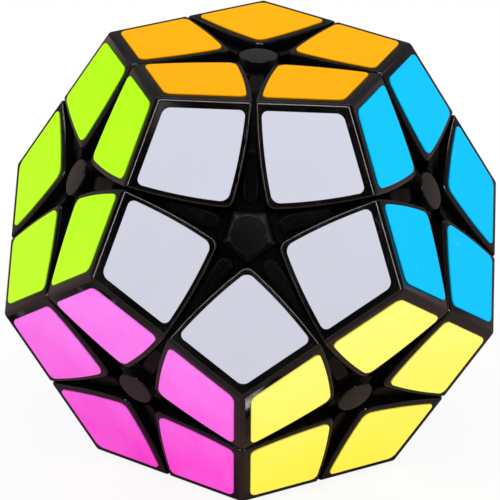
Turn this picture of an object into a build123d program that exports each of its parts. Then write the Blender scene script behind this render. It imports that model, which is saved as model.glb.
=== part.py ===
from build123d import *
import os
from math import acos, cos, degrees, radians, sin, sqrt, tan

# Dodecahedron twisty puzzle, corners only: 20 corners, 30 hidden edges and 12 face
# centres turning on a hollow core ball. Origin at the core's centre, +Z out of the
# orange face, -Y towards the light grey face. Every sliding surface is a sphere about
# the origin or a cone about a face axis, so each face turns freely about its own axis.

# ---------------------------------------------------------------- overall size
face_to_face = 70.0                 # across opposite stickered faces
sticker_thick = 0.20
sticker_gap = 0.03                  # adhesive film under each sticker
r_in = face_to_face / 2             # centre to sticker surface
plane_z = r_in - sticker_thick - sticker_gap   # centre to plastic face
edge_len = r_in / 1.1135164         # dodecahedron edge
r_face = edge_len * 0.6881910       # face centre to edge midpoint
# ---------------------------------------------------------------- turning surfaces
cone_z0 = 4.5                       # apex height of the outer turning cone
cone_slope = (21.631 - cone_z0) / r_in
cone_gap = 0.15                     # clearance of the corner shells from that cone
edge_gap = 0.09                     # clearance of the hidden edges from it
hub_gap = 0.06                      # clearance of the face centres from it
foot_angle = 56.0                   # half angle of the inner turning cone
foot_slope = 1 / tan(radians(foot_angle))
foot_gap = 0.12
core_r = 16.0                       # core ball
core_wall = 2.0
foot_r0, foot_r1 = 16.2, 20.4       # feet and legs live between these radii
outer_r0 = 20.6                     # shells and edge heads start here
# ---------------------------------------------------------------- corner shell
shell_wall = 1.4
outer_round = 1.0                   # along the dodecahedron's own edges
rim_round = 0.40                    # around each kite
tip_round = 1.7                     # vertical edge at each kite tip
plug_gap = 0.08
# ---------------------------------------------------------------- hidden edge
tongue_z = 33.35                    # raised tongue in each arm
floor_z = 31.9                      # floor beside the tongue
tongue_half = 1.25
tongue_start = 5.2
edge_cut = 35.4                     # outer end, measured along the edge's own axis
# ---------------------------------------------------------------- face centre
hub_r = 4.7
hub_top = 33.0
hub_slope = 24.0
hub_flat = 3.42
spring_bore = 2.45
spring_seat = 23.6
stem_r = 1.80
shank_hole = 1.0
cap_r = 3.2
cap_z0, cap_z1 = 33.05, 34.62
plug_r, plug_z = 2.36, 31.5
# ---------------------------------------------------------------- screw, washer, spring
shank_r, shank_z0 = 0.90, 8.2
head_r, head_z0, head_z1 = 2.0, 29.6, 31.1
washer_r, washer_z0, washer_z1 = 2.30, 29.15, 29.5
coil_r, wire_r, coil_z0, coil_z1 = 1.95, 0.28, 24.0, 28.75
post_r, post_r0, pilot_r = 2.3, 6.6, 0.96
# ---------------------------------------------------------------- stickers
sticker_inner = 1.00                # from the rim beside an arm
sticker_outer = 1.72                # from the dodecahedron edge

Z_UP = Vector(0, 0, 1)


def direction(azimuth, elevation):
    a, e = radians(azimuth), radians(elevation)
    return Vector(cos(e) * cos(a), cos(e) * sin(a), sin(e))


ring = 26.56505118
faces = {
    "orange": direction(0, 90),
    "grey": direction(-90, ring),
    "sky_blue": direction(-18, ring),
    "purple": direction(54, ring),
    "yellow": direction(126, ring),
    "lime": direction(198, ring),
    "red": direction(0, -90),
    "cream": direction(-54, -ring),
    "dark_green": direction(18, -ring),
    "white": direction(90, -ring),
    "dark_blue": direction(162, -ring),
    "pink": direction(234, -ring),
}
names = list(faces)
layers = ["orange", "cream", "dark_blue"]     # three faces, no two of them neighbours


def neighbours(a, b):
    return a != b and abs(faces[a].dot(faces[b]) - 0.4472136) < 1e-3


edge_sets = [(a, b) for i, a in enumerate(names) for b in names[i + 1:] if neighbours(a, b)]
corner_sets = [
    (a, b, c)
    for i, a in enumerate(names)
    for j, b in enumerate(names[i + 1:], i + 1)
    for c in names[j + 1:]
    if neighbours(a, b) and neighbours(b, c) and neighbours(a, c)
]


def unit(v):
    return v * (1 / v.length)


def across(v, n):
    return unit(v - n * v.dot(n))


def body_of(group):
    for name in layers:
        if name in group:
            return name + "_layer"
    return "body"


def corner_plane(group):
    v = unit(faces[group[0]] + faces[group[1]] + faces[group[2]])
    return Plane(origin=(0, 0, 0), x_dir=across(faces[group[0]], v), z_dir=v)


def edge_plane(group):
    m = unit(faces[group[0]] + faces[group[1]])
    return Plane(origin=(0, 0, 0), x_dir=across(faces[group[0]], m), z_dir=m)


def centre_plane(name):
    n = faces[name]
    arm = [faces[o] for o in names if neighbours(name, o)][0]
    return Plane(origin=(0, 0, 0), x_dir=across(arm, n), z_dir=n)


def cone_plane(n, apex, toward):
    # seam line turned away from the piece
    return Plane(origin=n * apex, x_dir=across(toward, n) * -1, z_dir=n)


def outer_apex(clear):
    return cone_z0 + clear * sqrt(1 + cone_slope ** 2)


def foot_apex(clear):
    return clear * sqrt(1 + foot_slope ** 2)


CONE_H = 60.0
outer_top = CONE_H / cone_slope
foot_top = CONE_H / foot_slope
ball = Plane(origin=(0, 0, 0), x_dir=(0, 0, -1), z_dir=(0, 1, 0))   # ball with its poles off the piece
centred = (Align.CENTER, Align.CENTER, Align.MIN)

# local directions used by the three templates
polar = acos(r_in / (edge_len * 1.4012585))
corner_dirs = [
    Vector(sin(polar) * cos(radians(t)), sin(polar) * sin(radians(t)), cos(polar))
    for t in (0, 120, 240)
]
half_dihedral = radians(31.7174744)
edge_dirs = [Vector(sin(half_dihedral), 0, cos(half_dihedral)), Vector(-sin(half_dihedral), 0, cos(half_dihedral))]
side_angle = radians(58.2825256)
edge_sides = [Vector(0, sin(side_angle), cos(side_angle)), Vector(0, -sin(side_angle), cos(side_angle))]
tilt = radians(63.4349488)
arm_dirs = [
    Vector(sin(tilt) * cos(radians(72 * i)), sin(tilt) * sin(radians(72 * i)), cos(tilt)) for i in range(5)
]

os.makedirs("parts", exist_ok=True)


def save(builder, name):
    builder.part.label = name
    export_step(builder.part, "parts/" + name + ".step")


# ================================================================ corner shell (template)
# Cavity of the hollow shell: the same three cones and three faces, one wall further in.
with BuildPart() as shell_cavity:
    with Locations(cone_plane(corner_dirs[0], outer_apex(cone_gap + shell_wall), Z_UP)):
        Cone(0, outer_top, CONE_H, align=centred)
    for n in corner_dirs[1:]:
        with Locations(cone_plane(n, outer_apex(cone_gap + shell_wall), Z_UP)):
            Cone(0, outer_top, CONE_H, align=centred, mode=Mode.INTERSECT)
    for n in corner_dirs:
        split(bisect_by=Plane(origin=n * (plane_z - shell_wall), z_dir=n), keep=Keep.BOTTOM)

with BuildPart() as corner_shell:
    with Locations(cone_plane(corner_dirs[0], outer_apex(cone_gap), Z_UP)):
        Cone(0, outer_top, CONE_H, align=centred)
    for n in corner_dirs[1:]:
        with Locations(cone_plane(n, outer_apex(cone_gap), Z_UP)):
            Cone(0, outer_top, CONE_H, align=centred, mode=Mode.INTERSECT)
    for n in corner_dirs:
        split(bisect_by=Plane(origin=n * plane_z, z_dir=n), keep=Keep.BOTTOM)
    # the three long straight edges, then the three kite tips, then the rims of the three kites
    ridges = corner_shell.edges().filter_by(GeomType.LINE)
    fillet(ridges, outer_round)
    tips = [
        e for e in corner_shell.edges()
        if any(6.0 > (e.center() - n * e.center().dot(n)).length and e.center().dot(n) < plane_z - 3 for n in corner_dirs)
    ]
    fillet(tips, tip_round)
    rims = [
        e for n in corner_dirs for e in corner_shell.edges()
        if e.geom_type != GeomType.LINE and abs(e.center().dot(n) - plane_z) < 0.01
        and all(abs(v.center().dot(n) - plane_z) < 0.01 for v in e.vertices())
        and min((e.center() - n * e.center().dot(n)).dot(across(m, n)) for m in corner_dirs if m is not n) < r_face - 1.9
    ]
    fillet(rims, rim_round)
    with Locations(ball):
        Sphere(outer_r0, mode=Mode.SUBTRACT)
    add(shell_cavity.part, mode=Mode.SUBTRACT)

# ================================================================ corner foot (template)
# A plug that fills the shell's open bottom, a neck, and the wide foot held under the edges.
with BuildPart() as foot_plug:
    with Locations(cone_plane(corner_dirs[0], outer_apex(cone_gap + shell_wall + plug_gap), Z_UP)):
        Cone(0, outer_top, CONE_H, align=centred)
    for n in corner_dirs[1:]:
        with Locations(cone_plane(n, outer_apex(cone_gap + shell_wall + plug_gap), Z_UP)):
            Cone(0, outer_top, CONE_H, align=centred, mode=Mode.INTERSECT)
    with Locations(ball):
        Sphere(24.5, mode=Mode.INTERSECT)
        Sphere(foot_r1 - 0.6, mode=Mode.SUBTRACT)

with BuildPart() as corner_foot:
    with Locations(ball):
        Sphere(foot_r1)
        Sphere(foot_r0, mode=Mode.SUBTRACT)
    for n in corner_dirs:
        with Locations(cone_plane(n, foot_apex(foot_gap), Z_UP)):
            Cone(0, foot_top, CONE_H, align=centred, mode=Mode.INTERSECT)
    add(foot_plug.part)
    # moulded hollow up the middle of the plug
    with BuildSketch(Plane.XY.offset(19.5)):
        Circle(1.9)
    extrude(amount=6, mode=Mode.SUBTRACT)

# ================================================================ hidden edge (template)
# Inner leg between the corner feet, reaching under the two face centres.
with BuildPart() as edge_leg:
    with Locations(ball):
        Sphere(foot_r1)
        Sphere(foot_r0, mode=Mode.SUBTRACT)
    for n in edge_dirs:
        with Locations(cone_plane(n, foot_apex(foot_gap), Z_UP)):
            Cone(0, foot_top, CONE_H, align=centred, mode=Mode.INTERSECT)
    for n in edge_sides:
        with Locations(cone_plane(n, foot_apex(-foot_gap), Z_UP)):
            Cone(0, foot_top, CONE_H, align=centred, mode=Mode.SUBTRACT)

# Neck between the leg and the head: the part of the section that both share.
with BuildPart() as edge_neck:
    with Locations(ball):
        Sphere(22.0)
        Sphere(18.0, mode=Mode.SUBTRACT)
    for n in edge_dirs:
        with Locations(cone_plane(n, outer_apex(edge_gap), Z_UP)):
            Cone(0, outer_top, CONE_H, align=centred, mode=Mode.INTERSECT)
    for n in edge_sides:
        with Locations(cone_plane(n, foot_apex(-foot_gap), Z_UP)):
            Cone(0, foot_top, CONE_H, align=centred, mode=Mode.SUBTRACT)

with BuildPart() as hidden_edge:
    with Locations(cone_plane(edge_dirs[0], outer_apex(edge_gap), Z_UP)):
        Cone(0, outer_top, CONE_H, align=centred)
    with Locations(cone_plane(edge_dirs[1], outer_apex(edge_gap), Z_UP)):
        Cone(0, outer_top, CONE_H, align=centred, mode=Mode.INTERSECT)
    for n in edge_sides:
        with Locations(cone_plane(n, outer_apex(-edge_gap), Z_UP)):
            Cone(0, outer_top, CONE_H, align=centred, mode=Mode.SUBTRACT)
    for n in edge_dirs:
        split(bisect_by=Plane(origin=n * tongue_z, z_dir=n), keep=Keep.BOTTOM)
    split(bisect_by=Plane.XY.offset(edge_cut), keep=Keep.BOTTOM)
    with Locations(ball):
        Sphere(outer_r0, mode=Mode.SUBTRACT)
    # lower floor on both faces, leaving a round-ended tongue along each arm
    for n in edge_dirs:
        with BuildSketch(Plane(origin=n * floor_z, x_dir=across(Z_UP, n), z_dir=n)):
            with Locations((8, 0)):
                Rectangle(30, 20)
            with Locations((tongue_start + tongue_half, 0)):
                Circle(tongue_half, mode=Mode.SUBTRACT)
            with Locations((tongue_start + tongue_half, 0)):
                Rectangle(30, 2 * tongue_half, align=(Align.MIN, Align.CENTER), mode=Mode.SUBTRACT)
        extrude(amount=4, mode=Mode.SUBTRACT)
    # softened rim round both tongues
    rims = [
        e for n in edge_dirs for e in hidden_edge.edges()
        if all(abs(v.center().dot(n) - tongue_z) < 0.01 for v in e.vertices())
        and abs(e.center().dot(n) - tongue_z) < 0.01
    ]
    fillet(rims, 0.22)
    add(edge_neck.part)
    add(edge_leg.part)

# ================================================================ face centre (template)
with BuildPart() as face_centre:
    with BuildSketch(Plane.XY.offset(foot_r1 - 2)):
        Circle(hub_r)
    extrude(amount=hub_top - foot_r1 + 2)
    with Locations(ball):
        Sphere(outer_r0, mode=Mode.SUBTRACT)
    for n in arm_dirs:
        with Locations(cone_plane(n, outer_apex(-hub_gap), Z_UP)):
            Cone(0, outer_top, CONE_H, align=centred, mode=Mode.SUBTRACT)
    # five sloped roof facets, whose ridges run out to the kite tips
    for n in arm_dirs:
        s = across(n, Z_UP)
        split(
            bisect_by=Plane(
                origin=s * hub_flat + Vector(0, 0, hub_top - 0.42),
                z_dir=s * sin(radians(hub_slope)) + Vector(0, 0, cos(radians(hub_slope))),
            ),
            keep=Keep.BOTTOM,
        )
    # hollow stem between the edge legs
    with BuildSketch(Plane.XY.offset(foot_r0)):
        Circle(stem_r)
    extrude(amount=6)
    # spring pocket and screw hole
    with BuildSketch(Plane.XY.offset(spring_seat)):
        Circle(spring_bore)
    extrude(amount=12, mode=Mode.SUBTRACT)
    with BuildSketch(Plane.XY.offset(foot_r0 - 1)):
        Circle(shank_hole)
    extrude(amount=12, mode=Mode.SUBTRACT)

# ================================================================ centre cap (template)
with BuildPart() as centre_cap:
    with BuildSketch(Plane.XY.offset(cap_z0)):
        Circle(cap_r)
    extrude(amount=cap_z1 - cap_z0)
    fillet(centre_cap.edges().group_by(Axis.Z)[-1], 0.22)
    with BuildSketch(Plane.XY.offset(plug_z)):
        Circle(plug_r)
        Circle(plug_r - 0.7, mode=Mode.SUBTRACT)
    extrude(amount=cap_z0 - plug_z + 0.3)
    # snap bead gap: a small relief groove round the plug
    with BuildSketch(Plane.XY.offset(plug_z + 0.5)):
        Circle(plug_r + 0.2)
        Circle(plug_r - 0.12, mode=Mode.SUBTRACT)
    extrude(amount=0.4, mode=Mode.SUBTRACT)

# ================================================================ tension screw, washer, spring
with BuildPart() as tension_screw:
    with BuildSketch(Plane.XY.offset(shank_z0 + 0.9)):
        Circle(shank_r)
    extrude(amount=head_z0 - shank_z0 - 0.9)
    with BuildSketch(Plane.XY.offset(shank_z0)) as point:
        Circle(0.25)
    with BuildSketch(Plane.XY.offset(shank_z0 + 0.9)) as root:
        Circle(shank_r)
    loft()
    with BuildSketch(Plane.XY.offset(head_z0)):
        Circle(head_r)
    extrude(amount=head_z1 - head_z0)
    fillet(tension_screw.edges().group_by(Axis.Z)[-1], 0.55)
    # cross recess
    with BuildSketch(Plane.XY.offset(head_z1)):
        Rectangle(2.1, 0.5)
        Rectangle(0.5, 2.1)
    extrude(amount=-0.9, mode=Mode.SUBTRACT)

with BuildPart() as spring_washer:
    with BuildSketch(Plane.XY.offset(washer_z0)):
        Circle(washer_r)
        Circle(shank_r + 0.2, mode=Mode.SUBTRACT)
    extrude(amount=washer_z1 - washer_z0)
    chamfer(spring_washer.edges().group_by(Axis.Z)[-1], 0.06)

with BuildPart() as tension_spring:
    with BuildLine(Plane.XY.offset(coil_z0)) as coil:
        Helix(pitch=(coil_z1 - coil_z0) / 4.5, height=coil_z1 - coil_z0, radius=coil_r)
    with BuildSketch(Plane(origin=coil.line @ 0, z_dir=coil.line % 0)):
        Circle(wire_r)
    sweep(is_frenet=True)

# ================================================================ core
half_names = {"core_upper_half": 1, "core_lower_half": -1}
with BuildPart() as core_upper_half:
    Sphere(core_r)
    Sphere(core_r - core_wall, mode=Mode.SUBTRACT)
    split(bisect_by=Plane.XY.offset(-0.8), keep=Keep.TOP)
    # lip that registers in the lower half
    with BuildSketch(Plane.XY.offset(-1)):
        Circle(core_r - 0.95)
    extrude(amount=1, mode=Mode.SUBTRACT)
    for name in names:
        n = faces[name]
        if n.Z > 0:
            with BuildSketch(Plane(origin=n * post_r0, z_dir=n)):
                Circle(post_r)
            extrude(amount=core_r - core_wall / 2 - post_r0)
            with BuildSketch(Plane(origin=n * (post_r0 + 0.8), z_dir=n)):
                Circle(pilot_r)
            extrude(amount=12, mode=Mode.SUBTRACT)

with BuildPart() as core_lower_half:
    Sphere(core_r)
    Sphere(core_r - core_wall, mode=Mode.SUBTRACT)
    split(bisect_by=Plane.XY.offset(-0.05), keep=Keep.BOTTOM)
    with BuildSketch(Plane.XY.offset(-0.9)):
        Circle(core_r + 1)
        Circle(core_r - 1.05, mode=Mode.SUBTRACT)
    extrude(amount=1, mode=Mode.SUBTRACT)
    for name in names:
        n = faces[name]
        if n.Z < 0:
            with BuildSketch(Plane(origin=n * post_r0, z_dir=n)):
                Circle(post_r)
            extrude(amount=core_r - core_wall / 2 - post_r0)
            with BuildSketch(Plane(origin=n * (post_r0 + 0.8), z_dir=n)):
                Circle(pilot_r)
            extrude(amount=12, mode=Mode.SUBTRACT)

# ================================================================ sticker (template)
# Outline in face coordinates, x towards the corner: two straight outer sides and two
# bulged inner sides that follow the turning cones at a constant margin.


def rim_value(x, y, sign):
    ax = Vector(sin(tilt) * cos(radians(36 * sign)), sin(tilt) * sin(radians(36 * sign)), cos(tilt))
    p = Vector(x, y, plane_z)
    z = p.dot(ax)
    return z - outer_apex(cone_gap) - cone_slope * sqrt(p.dot(p) - z * z)


def arc_point(s):
    # rim point of the kite on the +y side, at distance s along the arm from the face
    # centre, moved inwards by the margin
    ux, uy = cos(radians(36)), sin(radians(36))
    lo, hi = 0.0, 12.0
    for _ in range(50):
        mid = (lo + hi) / 2
        if rim_value(s * ux + mid * uy, s * uy - mid * ux, -1) > 0:
            hi = mid
        else:
            lo = mid
    x, y = s * ux + lo * uy, s * uy - lo * ux
    h = 1e-4
    gx = (rim_value(x + h, y, -1) - rim_value(x - h, y, -1)) / (2 * h)
    gy = (rim_value(x, y + h, -1) - rim_value(x, y - h, -1)) / (2 * h)
    g = sqrt(gx * gx + gy * gy)
    return x + sticker_inner * gx / g, y + sticker_inner * gy / g


outer_c, outer_s = cos(radians(36)), sin(radians(36))
outer_line = r_face - sticker_outer


def cross_s(test):
    lo, hi = 2.0, 21.0
    for _ in range(50):
        mid = (lo + hi) / 2
        if test(arc_point(mid)):
            lo = mid
        else:
            hi = mid
    return lo


s_tip = cross_s(lambda p: p[1] < 0)
s_side = cross_s(lambda p: p[0] * outer_c + p[1] * outer_s < outer_line)
side_arc = [arc_point(s_tip + (s_side - s_tip) * i / 6) for i in range(7)]
side_arc[0] = (side_arc[0][0], 0.0)
sticker_apex = (outer_line / outer_c, 0.0)

with BuildPart() as sticker:
    with BuildSketch(Plane.XY.offset(plane_z + sticker_gap)) as kite:
        with BuildLine():
            upper = Spline(*side_arc)
            lower = Spline(*[(x, -y) for x, y in side_arc])
            Polyline(side_arc[-1], sticker_apex, (side_arc[-1][0], -side_arc[-1][1]))
        make_face()
        corners = kite.vertices().sort_by(Axis.X)
        fillet(corners[0], 1.6)
        corners = kite.vertices().sort_by(Axis.X)
        fillet(corners[-1], 1.6)
        sides = [v for v in kite.vertices() if abs(v.X - side_arc[-1][0]) < 0.01]
        fillet(sides, 1.0)
    extrude(amount=sticker_thick)

# ================================================================ placed pieces
bodies = ["body"] + [name + "_layer" for name in layers]
for body in bodies:
    tag = "" if body == "body" else "_" + body
    here = [corner_plane(g) for g in corner_sets if body_of(g) == body]
    with BuildPart() as corner_shells:
        with Locations(*here):
            add(corner_shell.part, clean=False)
    save(corner_shells, "corner_shells" + (tag or "_body"))
    with BuildPart() as corner_feet:
        with Locations(*here):
            add(corner_foot.part, clean=False)
    save(corner_feet, "corner_feet" + (tag or "_body"))
    here = [edge_plane(g) for g in edge_sets if body_of(g) == body]
    with BuildPart() as hidden_edges:
        with Locations(*here):
            add(hidden_edge.part, clean=False)
    save(hidden_edges, "hidden_edges" + (tag or "_body"))
    here = [centre_plane(n) for n in names if body_of((n,)) == body]
    with BuildPart() as centre_caps:
        with Locations(*here):
            add(centre_cap.part, clean=False)
    save(centre_caps, "centre_caps_body" if body == "body" else "centre_cap" + tag)

for name in names:
    with BuildPart() as centre:
        with Locations(centre_plane(name)):
            add(face_centre.part, clean=False)
    save(centre, "face_centre_" + name)

everywhere = [centre_plane(n) for n in names]
with BuildPart() as tension_screws:
    with Locations(*everywhere):
        add(tension_screw.part, clean=False)
save(tension_screws, "tension_screws")

with BuildPart() as spring_washers:
    with Locations(*everywhere):
        add(spring_washer.part, clean=False)
save(spring_washers, "spring_washers")

with BuildPart() as tension_springs:
    with Locations(*everywhere):
        add(tension_spring.part, clean=False)
save(tension_springs, "tension_springs")

save(core_upper_half, "core_upper_half")
save(core_lower_half, "core_lower_half")

# stickers, one node for each colour on each turning body
for name in names:
    n = faces[name]
    for body in bodies:
        here = []
        for g in corner_sets:
            if name in g and body_of(g) == body:
                v = unit(faces[g[0]] + faces[g[1]] + faces[g[2]])
                here.append(Plane(origin=(0, 0, 0), x_dir=across(v, n), z_dir=n))
        if here:
            with BuildPart() as stickers:
                with Locations(*here):
                    add(sticker.part, clean=False)
            save(stickers, name + "_stickers" + ("_body" if body == "body" else "_" + body))
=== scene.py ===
import math
import bpy
from mathutils import Vector, Matrix


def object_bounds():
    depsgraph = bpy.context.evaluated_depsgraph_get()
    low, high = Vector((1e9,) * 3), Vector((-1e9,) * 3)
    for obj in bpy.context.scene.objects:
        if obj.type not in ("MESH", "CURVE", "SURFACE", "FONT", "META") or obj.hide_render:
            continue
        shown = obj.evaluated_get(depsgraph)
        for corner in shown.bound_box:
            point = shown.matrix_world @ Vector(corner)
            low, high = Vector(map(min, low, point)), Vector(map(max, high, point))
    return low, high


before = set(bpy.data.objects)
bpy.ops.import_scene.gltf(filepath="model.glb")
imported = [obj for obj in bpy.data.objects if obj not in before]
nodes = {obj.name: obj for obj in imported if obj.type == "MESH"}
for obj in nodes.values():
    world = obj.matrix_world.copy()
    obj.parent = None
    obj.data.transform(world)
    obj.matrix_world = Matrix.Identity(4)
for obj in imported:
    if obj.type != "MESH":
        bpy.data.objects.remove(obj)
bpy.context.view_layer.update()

scene = bpy.context.scene


# ------------------------------------------------------------------ the puzzle's directions
def direction(azimuth, elevation):
    a, e = math.radians(azimuth), math.radians(elevation)
    return Vector((math.cos(e) * math.cos(a), math.cos(e) * math.sin(a), math.sin(e)))


RING = 26.56505118
FACES = {
    "orange": direction(0, 90), "grey": direction(-90, RING), "sky_blue": direction(-18, RING),
    "purple": direction(54, RING), "yellow": direction(126, RING), "lime": direction(198, RING),
    "red": direction(0, -90), "cream": direction(-54, -RING), "dark_green": direction(18, -RING),
    "white": direction(90, -RING), "dark_blue": direction(162, -RING), "pink": direction(234, -RING),
}


def srgb(r, g, b):
    def f(v):
        v /= 255.0
        return v / 12.92 if v <= 0.04045 else ((v + 0.055) / 1.055) ** 2.4
    return (f(r), f(g), f(b), 1.0)


# vinyl colours: the tone at the top of the face as lit, and a deeper tone that is both the print's own variation and
# painted shade at the lower end of the face
VINYL = {
    "orange": (srgb(255, 180, 0), srgb(255, 174, 0)),
    "grey": (srgb(204, 205, 219), srgb(196, 196, 209)),
    "sky_blue": (srgb(0, 198, 252), srgb(0, 192, 249)),
    "cream": (srgb(252, 245, 124), srgb(254, 237, 67)),
    "pink": (srgb(255, 138, 248), srgb(255, 62, 211)),
    "lime": (srgb(180, 255, 8), srgb(194, 255, 44)),
    "red": (srgb(226, 36, 40), srgb(212, 24, 30)),
    "purple": (srgb(126, 62, 186), srgb(114, 52, 174)),
    "yellow": (srgb(254, 218, 16), srgb(248, 206, 6)),
    "dark_green": (srgb(12, 128, 58), srgb(8, 116, 50)),
    "white": (srgb(248, 248, 248), srgb(238, 239, 240)),
    "dark_blue": (srgb(22, 66, 182), srgb(16, 56, 168)),
}


# ------------------------------------------------------------------ small node helpers
class Graph:
    def __init__(self, name):
        self.mat = bpy.data.materials.new(name)
        self.mat.use_nodes = True
        self.t = self.mat.node_tree
        self.t.nodes.clear()
        self.x = 0

    def node(self, kind, **props):
        n = self.t.nodes.new(kind)
        n.location = (self.x, 0)
        self.x += 180
        for k, v in props.items():
            setattr(n, k, v)
        return n

    def link(self, a, b):
        self.t.links.new(a, b)

    def put(self, socket, value):
        if isinstance(value, bpy.types.NodeSocket):
            self.link(value, socket)
        else:
            socket.default_value = value

    def math(self, op, a, b=0.0, c=None, clamp=False):
        n = self.node("ShaderNodeMath", operation=op, use_clamp=clamp)
        self.put(n.inputs[0], a)
        self.put(n.inputs[1], b)
        if c is not None:
            self.put(n.inputs[2], c)
        return n.outputs[0]

    def vmath(self, op, a, b=(0, 0, 0), out="Vector"):
        n = self.node("ShaderNodeVectorMath", operation=op)
        self.put(n.inputs[0], a)
        if op == "SCALE":
            self.put(n.inputs["Scale"], b)
        elif op != "NORMALIZE":
            self.put(n.inputs[1], b)
        return n.outputs[out]

    def ramp(self, value, lo, hi, a=0.0, b=1.0):
        n = self.node("ShaderNodeMapRange", interpolation_type="SMOOTHSTEP")
        self.put(n.inputs["Value"], value)
        n.inputs["From Min"].default_value = lo
        n.inputs["From Max"].default_value = hi
        n.inputs["To Min"].default_value = a
        n.inputs["To Max"].default_value = b
        return n.outputs["Result"]

    def mix(self, fac, a, b):
        n = self.node("ShaderNodeMix", data_type="RGBA")
        self.put(n.inputs["Factor"], fac)
        self.put(n.inputs["A"] if "A" in n.inputs and False else n.inputs[6], a)
        self.put(n.inputs[7], b)
        return n.outputs[2]

    def noise(self, vector, scale, detail=2.0, rough=0.5, distortion=0.0):
        n = self.node("ShaderNodeTexNoise")
        self.link(vector, n.inputs["Vector"])
        n.inputs["Scale"].default_value = scale
        n.inputs["Detail"].default_value = detail
        n.inputs["Roughness"].default_value = rough
        n.inputs["Distortion"].default_value = distortion
        return n.outputs["Fac"]

    def bump(self, height, distance, strength=1.0, normal=None):
        n = self.node("ShaderNodeBump")
        self.put(n.inputs["Height"], height)
        n.inputs["Distance"].default_value = distance
        n.inputs["Strength"].default_value = strength
        if normal is not None:
            self.link(normal, n.inputs["Normal"])
        return n.outputs["Normal"]

    def coords(self):
        return self.node("ShaderNodeTexCoord").outputs["Object"]

    def edge_mask(self, radius, lo=0.02, hi=0.25):
        """1 on edges rounder than the mesh, 0 on flats: rounded normal against true normal."""
        bev = self.node("ShaderNodeBevel", samples=6)
        bev.inputs["Radius"].default_value = radius
        geo = self.node("ShaderNodeNewGeometry")
        d = self.vmath("DOT_PRODUCT", bev.outputs[0], geo.outputs["Normal"], out="Value")
        return self.ramp(self.math("SUBTRACT", 1.0, d), lo, hi), bev.outputs[0]

    def finish(self, color, rough, normal, ior=1.5, coat=0.0, coat_rough=0.1, metallic=0.0, specular=0.5, sss=0.0):
        p = self.node("ShaderNodeBsdfPrincipled")
        self.put(p.inputs["Base Color"], color)
        self.put(p.inputs["Roughness"], rough)
        self.put(p.inputs["Metallic"], metallic)
        self.put(p.inputs["IOR"], ior)
        self.put(p.inputs["Specular IOR Level"], specular)
        self.put(p.inputs["Coat Weight"], coat)
        self.put(p.inputs["Coat Roughness"], coat_rough)
        if normal is not None:
            self.link(normal, p.inputs["Normal"])
        o = self.node("ShaderNodeOutputMaterial")
        self.link(p.outputs[0], o.inputs["Surface"])
        return self.mat


def scratches(g, p, scale, angle, width):
    """Sparse fine lines: a stretched noise whose narrow iso-band is kept, broken up by a coarse mask."""
    m = g.node("ShaderNodeMapping")
    g.link(p, m.inputs["Vector"])
    m.inputs["Rotation"].default_value = angle
    m.inputs["Scale"].default_value = (1.0, 0.10, 1.0)
    n = g.noise(m.outputs[0], scale, 1.0, 0.4, 0.6)
    band = g.math("ABSOLUTE", g.math("SUBTRACT", n, 0.5))
    line = g.ramp(band, 0.0, width, 1.0, 0.0)
    gate = g.ramp(g.noise(p, scale * 0.35, 2.0), 0.56, 0.66)
    return g.math("MULTIPLY", line, gate)


# ------------------------------------------------------------------ black moulded plastic
def plastic(name, base, rough, grain, tint, gloss=0.5, edge=0.00018, wear=0.6, painted_sheen_colour=None):
    g = Graph(name)
    p = g.coords()
    mask, rounded = g.edge_mask(edge)
    cloud = g.noise(p, 90.0, 4.0, 0.55)                  # slow tone change over the part
    fine = g.noise(p, 5200.0, 2.0, 0.6)                  # tool texture of the mould
    peel = g.noise(p, 900.0, 2.0, 0.5)                   # faint flow waviness
    dust = g.ramp(g.noise(p, 2600.0, 1.0, 0.3), 0.70, 0.78)
    scr = scratches(g, p, 700.0, (0.4, 0.2, 0.9), 0.006)
    c = g.mix(g.ramp(cloud, 0.3, 0.7), base, tint)
    worn = g.math("MULTIPLY", g.math("MULTIPLY", mask, g.ramp(g.noise(p, 420.0, 3.0, 0.6), 0.42, 0.62)), wear)
    c = g.mix(worn, c, srgb(58, 50, 48))
    c = g.mix(g.math("MULTIPLY", dust, 0.10), c, srgb(92, 88, 84))
    if painted_sheen_colour is not None:                                 # painted sheen: the part's colour is greyed at a low viewing angle, standing in for glancing reflection
        facing = g.node("ShaderNodeLayerWeight").outputs["Facing"]
        c = g.mix(g.ramp(facing, 0.12, 0.60, 0.0, 0.9), c, painted_sheen_colour)
    r = g.math("ADD", g.ramp(cloud, 0.25, 0.75, rough - 0.05, rough + 0.06), g.math("MULTIPLY", fine, 0.05))
    r = g.math("ADD", r, g.math("MULTIPLY", scr, 0.18))
    r = g.math("ADD", r, g.math("MULTIPLY", worn, -0.06), clamp=True)
    n = g.bump(peel, 0.00002, 0.25, rounded)
    n = g.bump(fine, 0.000006, grain, n)
    n = g.bump(g.math("MULTIPLY", scr, -1.0), 0.00001, 0.35, n)
    return g.finish(c, r, n, ior=1.53, specular=gloss)


SHELL = plastic("moulded_black_gloss", srgb(7, 5, 5), 0.13, 0.22, srgb(13, 10, 10), gloss=0.45)
# the cap's grey at low viewing angles is a painted sheen
CAP = plastic("moulded_black_cap", srgb(8, 8, 8), 0.20, 0.30, srgb(11, 10, 10), gloss=0.22, edge=0.00010, wear=0.3, painted_sheen_colour=srgb(40, 38, 35))
INNER = plastic("moulded_black_satin", srgb(4, 4, 4), 0.19, 0.25, srgb(8, 7, 7), gloss=0.08, edge=0.00010, wear=0.10)
CORE = plastic("moulded_black_core", srgb(20, 20, 21), 0.42, 1.0, srgb(28, 27, 27), wear=0.2)


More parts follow.
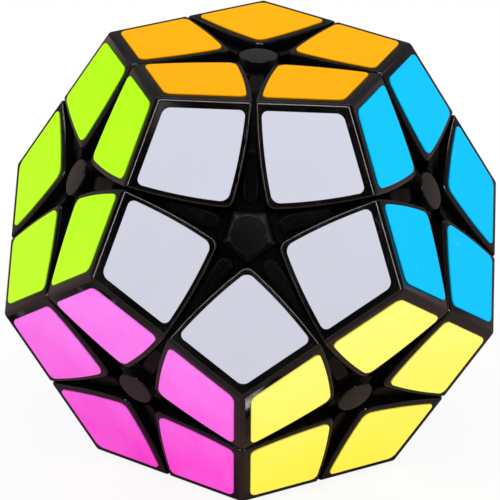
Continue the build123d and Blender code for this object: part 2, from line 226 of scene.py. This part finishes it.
# ------------------------------------------------------------------ steel
def steel(name, base, rough, streak):
    g = Graph(name)
    p = g.coords()
    mask, rounded = g.edge_mask(0.00008)
    m = g.node("ShaderNodeMapping")
    g.link(p, m.inputs["Vector"])
    m.inputs["Scale"].default_value = streak
    s = g.noise(m.outputs[0], 900.0, 3.0, 0.6)
    c = g.mix(g.ramp(s, 0.3, 0.7), base, (base[0] * 0.7, base[1] * 0.7, base[2] * 0.7, 1))
    c = g.mix(g.math("MULTIPLY", mask, 0.4), c, (0.85, 0.85, 0.86, 1))
    r = g.ramp(s, 0.2, 0.8, rough - 0.06, rough + 0.10)
    n = g.bump(s, 0.000008, 0.4, rounded)
    return g.finish(c, r, n, metallic=1.0)


ZINC = steel("zinc_plated_steel", (0.58, 0.58, 0.60, 1), 0.30, (1, 1, 0.2))
BRIGHT = steel("bright_washer_steel", (0.62, 0.62, 0.63, 1), 0.24, (1, 1, 1))
SPRING = steel("drawn_spring_wire", (0.46, 0.46, 0.47, 1), 0.28, (0.3, 0.3, 1))


# ------------------------------------------------------------------ vinyl stickers
def vinyl(colour):
    # the lighter tone is the face's top as lit; the deeper tone doubles as painted shade at the lower end
    base_and_lit_tone, deep_and_shaded_tone = VINYL[colour]
    n0 = FACES[colour]
    up = Vector((0, 0, 1)) if abs(n0.z) < 0.9 else Vector((0, 1, 0))
    v = (up - n0 * up.dot(n0)).normalized()
    u = v.cross(n0).normalized()
    g = Graph("vinyl_" + colour)
    p = g.coords()
    pu = g.vmath("DOT_PRODUCT", p, tuple(u), out="Value")
    pv = g.vmath("DOT_PRODUCT", p, tuple(v), out="Value")
    comb = g.node("ShaderNodeCombineXYZ")
    g.link(pu, comb.inputs[0])
    g.link(g.math("MULTIPLY", pv, 0.06), comb.inputs[1])
    brushed = g.noise(comb.outputs[0], 2600.0, 3.0, 0.65)          # fine brushed grain, up the face
    comb2 = g.node("ShaderNodeCombineXYZ")
    g.link(g.math("MULTIPLY", pu, 0.12), comb2.inputs[0])
    g.link(pv, comb2.inputs[1])
    cross = g.noise(comb2.outputs[0], 1500.0, 2.0, 0.5)
    cloud = g.noise(p, 130.0, 3.0, 0.5)
    mask, rounded = g.edge_mask(0.00009, 0.03, 0.3)
    scr = scratches(g, p, 420.0, (0.7, 0.5, 0.3), 0.004)
    painted_shade_to_bottom = g.ramp(pv, -0.022, 0.020, 1.0, 0.0)                      # painted shade and sheen: the print is made deeper towards the lower end of the face and lighter towards the upper end, as the light falls
    # the tone mixes the random grain and cloud of the print with the painted shade towards the lower end
    print_grain_and_painted_shade = g.math("ADD", g.math("MULTIPLY", g.ramp(brushed, 0.25, 0.75), 0.16), g.math("MULTIPLY", g.ramp(cloud, 0.3, 0.7), 0.14))
    print_grain_and_painted_shade = g.math("ADD", print_grain_and_painted_shade, g.math("MULTIPLY", painted_shade_to_bottom, 0.70), clamp=True)
    c = g.mix(print_grain_and_painted_shade, base_and_lit_tone, deep_and_shaded_tone)
    # the cut edge of the film shows a slightly darker line
    c = g.mix(g.math("MULTIPLY", mask, 0.35), c, (deep_and_shaded_tone[0] * 0.55, deep_and_shaded_tone[1] * 0.55, deep_and_shaded_tone[2] * 0.55, 1))
    c = g.mix(g.math("MULTIPLY", scr, 0.12), c, srgb(250, 250, 250))
    r = g.math("ADD", g.ramp(brushed, 0.2, 0.8, 0.30, 0.40), g.math("MULTIPLY", cross, 0.05))
    r = g.math("ADD", r, g.math("MULTIPLY", scr, 0.15), clamp=True)
    n = g.bump(brushed, 0.000010, 0.30, rounded)
    n = g.bump(g.noise(p, 260.0, 2.0), 0.00003, 0.20, n)            # film laid by hand, not dead flat
    n = g.bump(g.math("MULTIPLY", scr, -1.0), 0.00001, 0.4, n)
    return g.finish(c, r, n, ior=1.46, specular=0.02)


VINYL_MATS = {c: vinyl(c) for c in FACES}


def material_for(name):
    if "_stickers_" in name:
        return VINYL_MATS[name.split("_stickers_")[0]]
    if name == "tension_screws":
        return ZINC
    if name == "spring_washers":
        return BRIGHT
    if name == "tension_springs":
        return SPRING
    if name.startswith("corner_shells"):
        return SHELL
    if name.startswith("centre_cap"):
        return CAP
    if name.startswith("core_"):
        return CORE
    return INNER


for name, obj in nodes.items():
    mat = material_for(name)
    if not obj.material_slots:
        obj.data.materials.append(mat)
    for s in obj.material_slots:
        s.material = mat
    for poly in obj.data.polygons:
        poly.use_smooth = True
    weld = obj.modifiers.new("weld", "WELD")
    weld.merge_threshold = 1e-7
    split = obj.modifiers.new("crisp_edges", "EDGE_SPLIT")
    split.split_angle = math.radians(28)
    split.use_edge_sharp = False

# ------------------------------------------------------------------ floor
lo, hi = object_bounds()
floor_mesh = bpy.data.meshes.new("floor")
S = 3.0
floor_mesh.from_pydata([(-S, -S, 0), (S, -S, 0), (S, S, 0), (-S, S, 0)], [], [(0, 1, 2, 3)])
floor = bpy.data.objects.new("floor", floor_mesh)
scene.collection.objects.link(floor)
floor.location = (0, 0, lo[2] - 0.00002)
g = Graph("pale_floor")
p = g.coords()
path = g.node("ShaderNodeLightPath")
c = g.mix(g.ramp(g.noise(p, 12.0, 3.0), 0.3, 0.7), (0.94, 0.94, 0.94, 1), (0.92, 0.92, 0.925, 1))
c = g.mix(path.outputs["Is Glossy Ray"], c, (0.36, 0.26, 0.25, 1))     # the plastic mirrors a warm table top
lit = g.node("ShaderNodeBsdfDiffuse")
g.link(c, lit.inputs["Color"])
g.link(g.bump(g.noise(p, 900.0, 2.0), 0.00005, 0.1), lit.inputs["Normal"])
glow = g.node("ShaderNodeEmission")
glow.inputs["Color"].default_value = (1.0, 1.0, 1.0, 1)
g.link(g.math("ADD", 1.0, g.math("MULTIPLY", path.outputs["Is Diffuse Ray"], 0.30)), glow.inputs["Strength"])
both = g.node("ShaderNodeMixShader")
seen = g.math("MAXIMUM", g.math("MULTIPLY", path.outputs["Is Camera Ray"], 0.90), g.math("MULTIPLY", path.outputs["Is Diffuse Ray"], 0.60))
g.link(seen, both.inputs[0])
g.link(lit.outputs[0], both.inputs[1])
g.link(glow.outputs[0], both.inputs[2])
g.link(both.outputs[0], g.node("ShaderNodeOutputMaterial").inputs["Surface"])
floor_mesh.materials.append(g.mat)

# ------------------------------------------------------------------ light
world = bpy.data.worlds.new("studio")
scene.world = world
world.use_nodes = True
world.cycles.sampling_method = "NONE"      # gloss and diffuse rays see different skies
t = world.node_tree
t.nodes.clear()


def wn(kind, **props):
    n = t.nodes.new(kind)
    for k, v in props.items():
        setattr(n, k, v)
    return n


def wmath(op, a, b=0.0, clamp=False):
    n = wn("ShaderNodeMath", operation=op, use_clamp=clamp)
    for i, v in enumerate((a, b)):
        if isinstance(v, bpy.types.NodeSocket):
            t.links.new(v, n.inputs[i])
        else:
            n.inputs[i].default_value = v
    return n.outputs[0]


def wramp(value, a, b, x=0.0, y=1.0):
    n = wn("ShaderNodeMapRange", interpolation_type="SMOOTHSTEP")
    t.links.new(value, n.inputs["Value"])
    n.inputs["From Min"].default_value = a
    n.inputs["From Max"].default_value = b
    n.inputs["To Min"].default_value = x
    n.inputs["To Max"].default_value = y
    return n.outputs["Result"]


def wmix(fac, a, b):
    n = wn("ShaderNodeMix", data_type="RGBA")
    for s, v in ((n.inputs["Factor"], fac), (n.inputs[6], a), (n.inputs[7], b)):
        if isinstance(v, bpy.types.NodeSocket):
            t.links.new(v, s)
        else:
            s.default_value = v
    return n.outputs[2]


geo = wn("ShaderNodeTexCoord")
sep = wn("ShaderNodeSeparateXYZ")
t.links.new(geo.outputs["Generated"], sep.inputs[0])
X, Y, Z = sep.outputs
# what the gloss sees: white sweep behind, softbox overhead, dim room on the camera's side
back = wmath("MULTIPLY", wramp(Y, 0.10, 0.90), 0.15)
top = wmath("MULTIPLY", wramp(Z, 0.950, 0.985), 0.45)
sides = wmath("MULTIPLY", wramp(wmath("ABSOLUTE", X), 0.92, 0.98), 0.8)
room = wmix(wmath("MAXIMUM", back, wmath("MAXIMUM", top, sides), clamp=True), (0.006, 0.005, 0.005, 1), (1.0, 0.98, 0.97, 1))
path = wn("ShaderNodeLightPath")
fill = wmix(wramp(Z, -0.4, 0.9), (0.95, 0.95, 0.95, 1), (1.0, 1.0, 1.0, 1))
seen = wmix(path.outputs["Is Glossy Ray"], fill, room)
seen = wmix(path.outputs["Is Camera Ray"], seen, (1, 1, 1, 1))
# a thin ring light round the camera's mirror direction draws a fine line along every moulded rim
ring_dot = wn("ShaderNodeVectorMath", operation="DOT_PRODUCT")
t.links.new(geo.outputs["Generated"], ring_dot.inputs[0])
ring_dot.inputs[1].default_value = (-0.02, -0.865, 0.501)
ring = wmath("MULTIPLY", wramp(ring_dot.outputs["Value"], 0.848, 0.862), wramp(ring_dot.outputs["Value"], 0.894, 0.908, 1.0, 0.0))
ring = wmath("MULTIPLY", ring, wramp(Z, 0.10, 0.60, 0.25, 1.0))
# and a second, behind, does the same for the rims of the top face
back_dot = wn("ShaderNodeVectorMath", operation="DOT_PRODUCT")
t.links.new(geo.outputs["Generated"], back_dot.inputs[0])
back_dot.inputs[1].default_value = (-0.02, 0.921, 0.390)
back_ring = wmath("MULTIPLY", wramp(back_dot.outputs["Value"], 0.712, 0.722), wramp(back_dot.outputs["Value"], 0.748, 0.758, 1.0, 0.0))
back_ring = wmath("MULTIPLY", back_ring, wramp(Z, 0.20, 0.60, 0.0, 0.5))
ring = wmath("MAXIMUM", ring, back_ring)
ring = wmath("MULTIPLY", ring, path.outputs["Is Glossy Ray"])
seen = wmix(ring, seen, (1.0, 0.96, 0.94, 1))
bg = wn("ShaderNodeBackground")
t.links.new(seen, bg.inputs["Color"])
t.links.new(wmath("ADD", 1.0, wmath("MULTIPLY", ring, 22.0)), bg.inputs["Strength"])
out = wn("ShaderNodeOutputWorld")
t.links.new(bg.outputs[0], out.inputs["Surface"])


def area(name, loc, target, size, power, colour=(1, 1, 1)):
    l = bpy.data.lights.new(name, "AREA")
    l.shape = "RECTANGLE"
    l.size, l.size_y = size
    l.energy = power
    l.color = colour
    o = bpy.data.objects.new(name, l)
    scene.collection.objects.link(o)
    o.location = loc
    o.rotation_euler = (Vector(target) - Vector(loc)).to_track_quat("-Z", "Y").to_euler()
    o.visible_glossy = False        # highlights come from the narrow lights in the sky above
    return o


area("key_softbox", (-0.35, -0.35, 0.55), (0, 0, 0), (0.35, 0.35), 0.60)
area("right_softbox", (0.55, -0.15, 0.30), (0, 0, 0), (0.25, 0.40), 0.3)

# ------------------------------------------------------------------ camera
cam_data = bpy.data.cameras.new("camera")
cam = bpy.data.objects.new("camera", cam_data)
scene.collection.objects.link(cam)
scene.camera = cam
cam_data.sensor_width = 36.0
cam_data.lens = 348.0
cam_data.clip_start = 0.05
cam_data.clip_end = 20.0
EDGE = 0.0314320
pos = Vector((0.541134, -23.823399, 10.061592)) * EDGE
fwd = Vector((-0.021476, 0.920802, -0.389439)).normalized()
upv = Vector((-0.037838, 0.388501, 0.920671))
right = fwd.cross(upv).normalized()
upv = right.cross(fwd).normalized()
cam.matrix_world = Matrix((
    (right.x, upv.x, -fwd.x, pos.x),
    (right.y, upv.y, -fwd.y, pos.y),
    (right.z, upv.z, -fwd.z, pos.z),
    (0, 0, 0, 1),
))
scene.view_settings.view_transform = "Standard"
scene.view_settings.look = "None"
